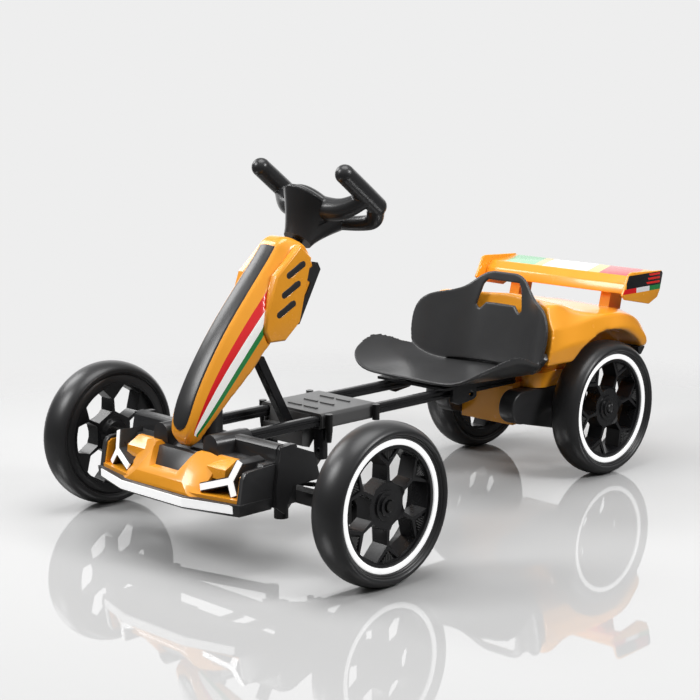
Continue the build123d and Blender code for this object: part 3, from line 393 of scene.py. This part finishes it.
# CAD node: its dressed name, body, finish, slot, voxel and rounds of smoothing
softParts = {
    "cowl": ("cowl_shell", "front", cowlShell, "orange_gloss", 0.0025, 14),
    "rear_body": ("tail_shell", "rear", orangeShell, "orange_gloss", 0.0025, 16),
}
for nodeName, (name, body, finish, slot, voxel, rounds) in softParts.items():
    piece = castOf(nodeName, name)
    soften(piece, voxel, rounds)
    finishPiece(piece, body, finish, slot, nodeName, angle=60)
print("shells made")

# CAD node: its dressed name, body, finish, slot, the width and steps of its rounded edges, and its shading angle
edgedParts = {
    "bumper_fascia": ("nose_fascia", "front", orangeShell, "orange_gloss", 0.0007, 2, 14),
    "bumper_tray": ("nose_tray", "front", blackPlastic, "black_plastic", 0.0009, 2, 35),
    "front_housing": ("nose_housing", "front", blackPlastic, "black_plastic", 0.0012, 2, 35),
    "wing": ("wing_blade", "rear", wingShell, "orange_gloss", 0.0025, 3, 35),
    "wing_plates": ("wing_end_plates", "rear", plateShell, "orange_gloss", 0.0012, 2, 35),
    "lower_housing": ("drive_housing", "rear", orangeShell, "orange_gloss", 0.003, 3, 35),
    "motors": ("motor_cases", "rear", blackPlastic, "black_plastic", 0.003, 3, 35),
    "vent_pods": ("vent_pods_edged", "front", orangeShell, "orange_gloss", 0.0006, 2, 20),
}
for nodeName, (name, body, finish, slot, width, segments, angle) in edgedParts.items():
    piece = castOf(nodeName, name)
    trimEdges(piece, 3, width, segments, 28)
    finishPiece(piece, body, finish, slot, nodeName, angle=angle)
print("edged parts made")


# seat and steering wheel

def tube(points, radii):
    # a round bar through a few points, thickening and thinning on its way
    curve = bpy.data.curves.new("bar", "CURVE")
    curve.dimensions = "3D"
    curve.bevel_depth = 0.001
    curve.bevel_resolution = 6
    curve.use_fill_caps = True
    curve.resolution_u = 8
    line = curve.splines.new("NURBS")
    line.points.add(len(points) - 1)
    for point, spot, radius in zip(line.points, points, radii):
        point.co = (*spot, 1)
        point.radius = radius
    line.use_endpoint_u = True
    line.order_u = 3
    bar = bpy.data.objects.new("bar", curve)
    bpy.context.scene.collection.objects.link(bar)
    only(bar)
    bpy.ops.object.convert(target="MESH")
    return bpy.context.object


def ball(spot, radius, stretch=(1, 1, 1), turn=0.0):
    bpy.ops.object.select_all(action="DESELECT")
    bpy.ops.mesh.primitive_uv_sphere_add(segments=48, ring_count=24, radius=radius / 1000)
    made = bpy.context.object
    made.data.transform(Matrix.Translation(spot) @ Matrix.Rotation(radians(turn), 4, "X")
                        @ Matrix.Diagonal((*stretch, 1)))
    return made


def together(name, pieces):
    bpy.ops.object.select_all(action="DESELECT")
    for piece in pieces:
        piece.select_set(True)
    bpy.context.view_layer.objects.active = pieces[0]
    bpy.ops.object.join()
    whole = bpy.context.object
    whole.name = name
    return whole


# a roll of plastic fills the corner where the back rises from the base
bucket = {"roll": 7.5, "voxel": 0.0014, "rounds": 16, "foot": (
    (-140, 522, 214), (-124, 529, 201), (-108, 538, 191), (-76, 559, 185), (-46, 570, 184), (0, 573, 184),
    (46, 570, 184), (76, 559, 185), (108, 538, 191), (124, 529, 201), (140, 522, 214))}
corner = tube([stand(*spot) for spot in bucket["foot"]], [bucket["roll"]] * len(bucket["foot"]))
seat = together("seat_bucket", [castOf("seat", "seat_shell"), corner])
soften(seat, bucket["voxel"], bucket["rounds"])
finishPiece(seat, "rear", seatPlastic, "seat_black", "seat", angle=75)

# the wheel's own frame: across, forwards and up its tilted plane, and out along the column; then each bar's radius
column = {"tilt": 37.3, "foot": (123.5, 415.6), "gripRadius": 14.2, "gripSwell": 0.6, "gripX": 87.0, "gripHeight": 88.5,
          "gripEnds": (-29, 52), "caps": (((0, 0, 60), (36.5, 58.5, 13)), ((0, 4, 66), (29, 44, 13))),
          "spoke": ((14, 4, 58, 19), (42, 2, 57, 17), (66, -2, 66, 15), (86, -4, 85, 12.5)),
          "lowerArm": ((84, -31, 84, 13), (82, -45, 76, 13), (58, -49, 68, 11), (12, -45, 64, 11)),
          "voxel": 0.0014, "rounds": 8}


def onColumn(across, forward, height):
    lean = radians(column["tilt"])
    return stand(across, column["foot"][0] - forward * cos(lean) + height * sin(lean),
                 column["foot"][1] + forward * sin(lean) + height * cos(lean))


def columnBar(stations, side):
    return tube([onColumn(side * across, forward, height) for across, forward, height, radius in stations],
                [station[3] for station in stations])


bars = [ball(onColumn(*spot), 1, stretch, -column["tilt"]) for spot, stretch in column["caps"]]
for side in (-1, 1):
    low, high = column["gripEnds"]
    x, height, radius = column["gripX"], column["gripHeight"], column["gripRadius"]
    bars.append(columnBar(((x, low, height, radius), (x, (low + high) / 2, height, radius + column["gripSwell"]),
                           (x, high, height, radius)), side))
    bars += [ball(onColumn(side * x, end, height), radius) for end in (low, high)]
    bars += [columnBar(column[part], side) for part in ("spoke", "lowerArm")]
wheel = together("wheel_and_grips", bars)
soften(wheel, column["voxel"], column["rounds"])
finishPiece(wheel, "steering", blackPlastic, "black_plastic", "steering_wheel", angle=75)

# the shroud flares from the collar to an oval mouth, pierced by slots
flare = {"bottom": 21.5, "top": (37.5, 59.0), "height": 57.0, "foot": 4.0, "swell": 1.25, "sides": 96,
         "rings": (0.45, -0.35, -0.2, -0.05, 0.1, 0.25),
         "slots": (((36, -6, 46, 4), (34, -2, 38, 4.6), (31, 2, 30, 3.4)),
                   ((20, -34, 34, 4), (19, -30, 26, 4), (18, -28, 20, 4)))}
bpy.ops.object.select_all(action="DESELECT")
bpy.ops.mesh.primitive_cylinder_add(vertices=flare["sides"], radius=1, depth=1, end_fill_type="NGON")
shroud = bpy.context.object
shroud.name = "column_shroud"
bpy.ops.object.mode_set(mode="EDIT")
for height in flare["rings"]:
    bpy.ops.mesh.select_all(action="SELECT")
    bpy.ops.mesh.bisect(plane_co=(0, 0, height), plane_no=(0, 0, 1))
bpy.ops.object.mode_set(mode="OBJECT")
for vertex in shroud.data.vertices:
    share = vertex.co.z + 0.5
    grown = share ** flare["swell"]
    across, forward = (way * (flare["bottom"] + (top - flare["bottom"]) * grown)
                       for way, top in zip(vertex.co.xy, flare["top"]))
    vertex.co = onColumn(across, forward, flare["foot"] + (flare["height"] - flare["foot"]) * share)
faceOutwards(shroud)
cutter = together("slots", [columnBar(slot, side) for side in (-1, 1) for slot in flare["slots"]])
addModifier(shroud, "BOOLEAN", operation="DIFFERENCE", object=cutter, solver="EXACT")
bpy.data.objects.remove(cutter, do_unlink=True)
finishPiece(shroud, "steering", blackPlastic, "black_plastic", "steering_shroud", angle=40)
print("seat and wheel made")

# cowl details

# stations up the spine: height and half width; the cowl's own front gives how far back each stands
spineWidths = ((177.2, 4), (179.5, 9.5), (184, 13.5), (192, 16.2), (205, 17.2), (216, 17.4), (236, 17.2), (255, 17),
               (273, 16.8), (291, 16.6), (307, 16.4), (323, 16.2), (338, 16), (353, 15.8), (367, 15.6), (380, 15.4),
               (392, 15.2), (402, 15), (410, 14.8), (416, 14.6))
spineStations = []
cowlCast = castOf("cowl", "cowl_cast")
bpy.context.view_layer.update()
for height, half in spineWidths:
    found, spot, normal, face = cowlCast.ray_cast(stand(0, -200, height), Vector((0, 1, 0)))
    if found:
        spineStations.append((spot.y * 1000 + axleOffset, height, half))
bpy.data.objects.remove(cowlCast, do_unlink=True)
# how far the strip stands out: shares of its half width, and millimetres
spineSection = ((-1, -2.5), (-1, 0.6), (-0.90, 1.5), (0, 3.6), (0.90, 1.5), (1, 0.6), (1, -2.5))


def ridgedStrip(name, stations):
    # a strip with a low ridge down its middle, laid along the cowl's front
    bpy.ops.object.select_all(action="DESELECT")
    columns, rows = len(spineSection) - 1, len(stations) - 1
    bpy.ops.mesh.primitive_grid_add(x_subdivisions=columns, y_subdivisions=rows, size=1)
    piece = bpy.context.object
    piece.name = name
    for vertex in piece.data.vertices:
        row = round((vertex.co.y + 0.5) * rows)
        share, lift = spineSection[round((vertex.co.x + 0.5) * columns)]
        y, z, half = stations[row]
        before, after = stations[max(row - 1, 0)], stations[min(row + 1, rows)]
        run = Vector((0, after[0] - before[0], after[1] - before[1])).normalized()
        out = Vector((0, -run.z, run.y))
        vertex.co = stand(share * half, y, z) + out * lift / 1000
    addModifier(piece, "SUBSURF", levels=2, render_levels=2)
    return piece


spine = ridgedStrip("cowl_spine_ridged", spineStations)
faceOutwards(spine)
finishPiece(spine, "front", blackPlastic, "black_plastic", "cowl_spine", angle=30)

# the pods' vents are black bars let into their slots
low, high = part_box("vent_pods")
ventBars = {"face": high[0] * 1000 - 1.7, "length": 40, "width": 10, "depth": 4, "edge": 0.7, "sides": 24, "rows": 3,
            "start": (84.0, 384.0), "step": (-9.5, -27), "turn": 26}
bars = []
for side in (-1, 1):
    for row in range(ventBars["rows"]):
        y, z = (ventBars["start"][k] + ventBars["step"][k] * row for k in range(2))
        bpy.ops.object.select_all(action="DESELECT")
        bpy.ops.mesh.primitive_cylinder_add(vertices=ventBars["sides"], radius=ventBars["width"] / 2000,
                                            depth=ventBars["depth"] / 1000, rotation=(0, radians(90), 0))
        bar = bpy.context.object
        bpy.ops.object.transform_apply(location=True, rotation=True, scale=True)
        for vertex in bar.data.vertices:
            vertex.co.y += (ventBars["length"] - ventBars["width"]) / 2000 * (1 if vertex.co.y > 0 else -1)
        bar.data.transform(Matrix.Translation(stand(side * ventBars["face"], y, z))
                           @ Matrix.Rotation(radians(ventBars["turn"]), 4, "X"))
        bars.append(bar)
vents = together("vent_bars", bars)
addModifier(vents, "BEVEL", width=ventBars["edge"] / 1000, segments=2, limit_method="ANGLE", angle_limit=radians(50))
finishPiece(vents, "front", blackPlastic, "black_plastic")
print("cowl details made")

# tyres and rims

# the sidewall's rings stand out from the middle by the first number, beyond the white ring by the second
tyre = {"radius": 110.0, "half": 26.9, "ringRadius": 88.9, "ringFace": 17.3, "bead": 80.0, "shoulder": 8.0, "turns": 96,
        "sidewall": ((19.7, 0.5), (20.6, 1.0), (21.2, 1.9), (20.9, 2.7), (20.9, 3.1), (22.3, 3.6), (23.0, 4.6),
                     (22.7, 5.3), (22.8, 5.7), (24.6, 6.3), (25.9, 7.3)), "backFace": 3.4}


def turned(name, outline, centre, side):
    # a profile of (along the axle, out from it) steps, spun about the axle
    along, out = outline[0]
    bpy.ops.object.select_all(action="DESELECT")
    bpy.ops.mesh.primitive_plane_add(size=0.001, location=centre + Vector((side * along / 1000, 0, out / 1000)))
    piece = bpy.context.object
    piece.name = name
    bpy.ops.object.transform_apply(location=True, rotation=True, scale=True)
    bpy.ops.object.mode_set(mode="EDIT")
    bpy.ops.mesh.select_all(action="SELECT")
    bpy.ops.mesh.merge(type="CENTER")
    for start, end in zip(outline, outline[1:]):
        step = (side * (end[0] - start[0]) / 1000, 0, (end[1] - start[1]) / 1000)
        bpy.ops.mesh.extrude_region_move(TRANSFORM_OT_translate={"value": step})
    bpy.ops.mesh.select_all(action="SELECT")
    bpy.ops.mesh.spin(steps=tyre["turns"], angle=2 * pi, center=centre, axis=(1, 0, 0))
    bpy.ops.mesh.select_all(action="SELECT")
    bpy.ops.mesh.remove_doubles(threshold=0.00001)
    bpy.ops.mesh.normals_make_consistent(inside=False)
    bpy.ops.object.mode_set(mode="OBJECT")
    return piece


def sweepPoints(x, z, radiusX, radiusZ, start, end, count):
    # points on an ellipse, by angle in degrees
    turns = [radians(start + (end - start) * k / count) for k in range(count + 1)]
    return [(x + radiusX * cos(turn), z + radiusZ * sin(turn)) for turn in turns]


def tyreOutline():
    # a ringed sidewall that starts flush with the white ring, then a round crown
    ring, half = tyre["ringRadius"], tyre["half"]
    rise = tyre["radius"] - ring - tyre["shoulder"]
    side = [(tyre["ringFace"], tyre["bead"]), (tyre["ringFace"], ring + 0.3)]
    side += [(out, ring + beyond) for out, beyond in tyre["sidewall"]]
    crown = sweepPoints(0, ring + tyre["shoulder"], half, rise, 8, 172, 24)
    inner = tyre["backFace"] - half
    back = [(-x, z) for x, z in reversed(side[6:])] + [(inner, ring + 0.6), (inner, tyre["bead"])]
    return side + crown + back + [side[0]]


webs = {"phase": {"front": 30, "rear": 8}, "turn": {"front": 30, "rear": 0}, "apex": 60.0, "rim": 78.6,
        "halfAngle": 12.6, "pitch": 3.0, "rib": 1.3, "face": 13.0, "floor": 8.6, "ribsEachSide": 6, "start": 1.6,
        "shortest": 1.5, "edge": 0.2}


def webRibs(end, hand, side, centre):
    # fine ribs that run out towards the rim, filling the sunk triangle at the end of each spoke
    reach = webs["rim"] - webs["apex"]
    spread = webs["rim"] * sin(radians(webs["halfAngle"]))
    bpy.ops.object.select_all(action="DESELECT")
    bars = []
    for k in range(-webs["ribsEachSide"], webs["ribsEachSide"] + 1):
        across = k * webs["pitch"]
        inner = webs["apex"] + webs["start"] + abs(across) / spread * reach
        outer = (webs["rim"] ** 2 - across ** 2) ** 0.5
        if outer - inner < webs["shortest"]:
            continue
        spot = Vector((side * (webs["face"] + webs["floor"]) / 2, across, (inner + outer) / 2)) / 1000
        bpy.ops.mesh.primitive_cube_add(size=1, location=spot)
        bar = bpy.context.object
        bar.scale = Vector((webs["face"] - webs["floor"], webs["rib"], outer - inner)) / 1000
        bars.append(bar)
    fan = together(f"web_ribs_{end}_{hand}", bars)
    bpy.ops.object.transform_apply(location=True, rotation=True, scale=True)
    bpy.ops.object.mode_set(mode="EDIT")
    bpy.ops.mesh.select_all(action="SELECT")
    bpy.ops.mesh.bevel(offset=webs["edge"] / 1000, segments=1)
    for step in range(5):
        bpy.ops.mesh.duplicate()
        bpy.ops.transform.rotate(value=radians(60), orient_axis="X", center_override=(0, 0, 0))
        bpy.ops.mesh.select_linked()
    bpy.ops.object.mode_set(mode="OBJECT")
    fan.rotation_euler.x = radians(webs["phase"][end] - 30) * side
    fan.location = centre
    only(fan)
    bpy.ops.object.transform_apply(location=True, rotation=True, scale=True)
    # the ribs take the lighter black, a painted highlight on their ridges
    finishPiece(fan, f"wheel_{end}_{hand}", ribHighlightPlastic, "rim_black")


for end in ("front", "rear"):
    for hand, side in (("left", 1), ("right", -1)):
        low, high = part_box(f"tyre_{end}_{hand}")
        middle = (Vector(low) + Vector(high)) / 2
        piece = turned(f"tyre_rubber_{end}_{hand}", tyreOutline(), middle, side)
        finishPiece(piece, f"wheel_{end}_{hand}", rubber, "tyre_black", f"tyre_{end}_{hand}", angle=50)
        ring = castOf(f"trim_ring_{end}_{hand}", f"white_ring_{end}_{hand}")
        trimEdges(ring, 1, 0.0008, 2, 40)
        finishPiece(ring, f"wheel_{end}_{hand}", ringWhite, "ring_white", f"trim_ring_{end}_{hand}")
        rim = castOf(f"rim_{end}_{hand}", f"spoked_rim_{end}_{hand}")
        turn = Matrix.Translation(middle) @ Matrix.Rotation(side * radians(webs["turn"][end]), 4, "X")
        rim.data.transform(turn @ Matrix.Translation(-middle))
        trimEdges(rim, 1, 0.0006, 2, 24)
        finishPiece(rim, f"wheel_{end}_{hand}", rimPlastic, "rim_black", f"rim_{end}_{hand}", angle=18)
        webRibs(end, hand, side, middle)
print("wheels made")

# floor, light and camera

studio = {"backdrop": 0.855, "behind": 1.25, "fill": 0.25, "floor": 0.60, "bounce": 0.22, "mirror": 0.26,
          "size": 9, "gloss": 0.02, "fadeStart": 0.62, "fadeEnd": 1.35,
          # the painted shadow patch under the kart: its half width, middle and half length, where it fades, and the
          # share of shine left in it
          "paintedShadow": (190, 190, 330), "paintedShadowEdge": (0.35, 1.15), "paintedShadowShine": 0.25,
          "upward": (0.15, 0.95, 0.30, 2.0), "away": (0.85, 1.2), "low": (0.36, 0.62)}
bpy.ops.object.select_all(action="DESELECT")
bpy.ops.mesh.primitive_plane_add(size=studio["size"])
floor = bpy.context.object
floor.name = "floor"
floorFinish = Finish("floorFinish", (studio["floor"],) * 3, 0.9)
floorFinish.shader.inputs["Specular IOR Level"].default_value = 0
x, y, z = floorFinish.place()
far = (x * x + (y - axleOffset) * (y - axleOffset)) ** 0.5 / 1000
fade = floorFinish.node("ShaderNodeMapRange", {"interpolation_type": "SMOOTHSTEP"}, far, studio["fadeStart"],
                        studio["fadeEnd"], 1.0, 0.0)
floorFinish.feed("Alpha", fade)
# the floor is pale to the camera, and throws less light back up at the kart
seen = floorFinish.node("ShaderNodeLightPath", {})
floorFinish.feed("Base Color", floorFinish.blend(seen, (studio["bounce"],) * 3, (studio["floor"],) * 3))
sheen = floorFinish.tree.nodes.new("ShaderNodeBsdfPrincipled")
tint = studio["backdrop"] / studio["behind"]
for name, value in (("Base Color", (tint, tint, tint, 1)), ("Metallic", 1), ("Roughness", studio["gloss"])):
    sheen.inputs[name].default_value = value
blendNode = floorFinish.tree.nodes.new("ShaderNodeMixShader")
# painted shadow: its mirror shine is turned down in a patch under the kart, darkening the floor there as a shadow
# would, and the shine dies out with distance
halfWide, middle, halfLong = studio["paintedShadow"]
paintedShadow = ((x / halfWide) * (x / halfWide) + ((y - middle) / halfLong) * ((y - middle) / halfLong)) ** 0.5
shine = floorFinish.node("ShaderNodeMapRange", {"interpolation_type": "SMOOTHSTEP"}, paintedShadow, *studio["paintedShadowEdge"],
                         studio["mirror"] * studio["paintedShadowShine"], studio["mirror"])
floorFinish.tree.links.new((shine * fade).socket, blendNode.inputs[0])
floorFinish.tree.links.new(floorFinish.shader.outputs[0], blendNode.inputs[1])
floorFinish.tree.links.new(sheen.outputs[0], blendNode.inputs[2])
floorFinish.tree.links.new(blendNode.outputs[0], floorFinish.tree.nodes["Material Output"].inputs["Surface"])
floor.data.materials.append(floorFinish.material)

# the camera sees a plain pale backdrop; the kart is lit by a dimmer room, brighter overhead, and its shiny faces
# also catch a bright strip behind it
world = bpy.data.worlds.new("studio")
bpy.context.scene.world = world
world.use_nodes = True
tree = world.node_tree
backdrop = tree.nodes["Background"]
backdrop.inputs["Color"].default_value = (*(studio["backdrop"],) * 3, 1)
roomShader = tree.nodes.new("ShaderNodeBackground")


def worldNode(kind, settings, *values):
    made = tree.nodes.new(kind)
    for key, value in settings.items():
        setattr(made, key, value)
    for place, value in enumerate(values):
        if isinstance(value, bpy.types.NodeSocket):
            tree.links.new(value, made.inputs[place])
        elif value is not None:
            made.inputs[place].default_value = value
    return made


facing = worldNode("ShaderNodeSeparateXYZ", {}, tree.nodes.new("ShaderNodeTexCoord").outputs["Generated"])
smooth = {"interpolation_type": "SMOOTHSTEP"}
upward = worldNode("ShaderNodeMapRange", smooth, facing.outputs["Z"], *studio["upward"])
dim = worldNode("ShaderNodeMath", {"operation": "MULTIPLY"}, upward.outputs[0], studio["fill"])
away = worldNode("ShaderNodeMath", {"operation": "SUBTRACT"}, facing.outputs["Y"], facing.outputs["X"])
away = worldNode("ShaderNodeMapRange", smooth, away.outputs[0], *studio["away"], 0.0, 1.0)
low = worldNode("ShaderNodeMapRange", smooth, facing.outputs["Z"], *studio["low"], 1.0, 0.0)
path = tree.nodes.new("ShaderNodeLightPath")
behind = worldNode("ShaderNodeMath", {"operation": "MULTIPLY"}, away.outputs[0], low.outputs[0])
behind = worldNode("ShaderNodeMath", {"operation": "MULTIPLY"}, behind.outputs[0], path.outputs["Is Glossy Ray"])
light = worldNode("ShaderNodeMix", {}, behind.outputs[0])
tree.links.new(dim.outputs[0], light.inputs[2])
light.inputs[3].default_value = studio["behind"]
tree.links.new(light.outputs[0], roomShader.inputs["Strength"])
roomShader.inputs["Color"].default_value = (1, 1, 1, 1)
mix = worldNode("ShaderNodeMixShader", {}, path.outputs["Is Camera Ray"])
tree.links.new(roomShader.outputs[0], mix.inputs[1])
tree.links.new(backdrop.outputs[0], mix.inputs[2])
tree.links.new(mix.outputs[0], tree.nodes["World Output"].inputs["Surface"])

# each lamp: where it hangs, where it points, its width in metres and its power in watts
lamps = {
    "overhead": ((0.05, -0.15, 2.2), (0.0, 0, 0.2), 1.5, 26),
    "front": ((-1.2, -2.0, 1.9), (0, 0, 0.25), 1.0, 32),
    "side": ((2.1, 0.5, 1.75), (0, 0, 0.2), 0.9, 36),
    "farSide": ((-2.0, -0.5, 1.7), (0, -0.3, 0.3), 1.0, 18),
}
for name, (spot, target, size, power) in lamps.items():
    bpy.ops.object.light_add(type="AREA", location=spot)
    lamp = bpy.context.object
    lamp.name = name
    lamp.data.shape = "DISK"
    lamp.data.size = size
    lamp.data.energy = power
    lamp.rotation_euler = (Vector(target) - Vector(spot)).to_track_quat("-Z", "Y").to_euler()

view = {"spot": (1.81373, -1.9045, 0.7219), "tilt": 79.448, "turn": 45.066, "lens": 89.73, "sensor": 36}
bpy.ops.object.camera_add(location=view["spot"], rotation=(radians(view["tilt"]), 0, radians(view["turn"])))
camera = bpy.context.object
camera.data.lens = view["lens"]
camera.data.sensor_width = view["sensor"]
bpy.context.scene.camera = camera
bpy.context.scene.view_settings.view_transform = "Standard"
print("studio ready")
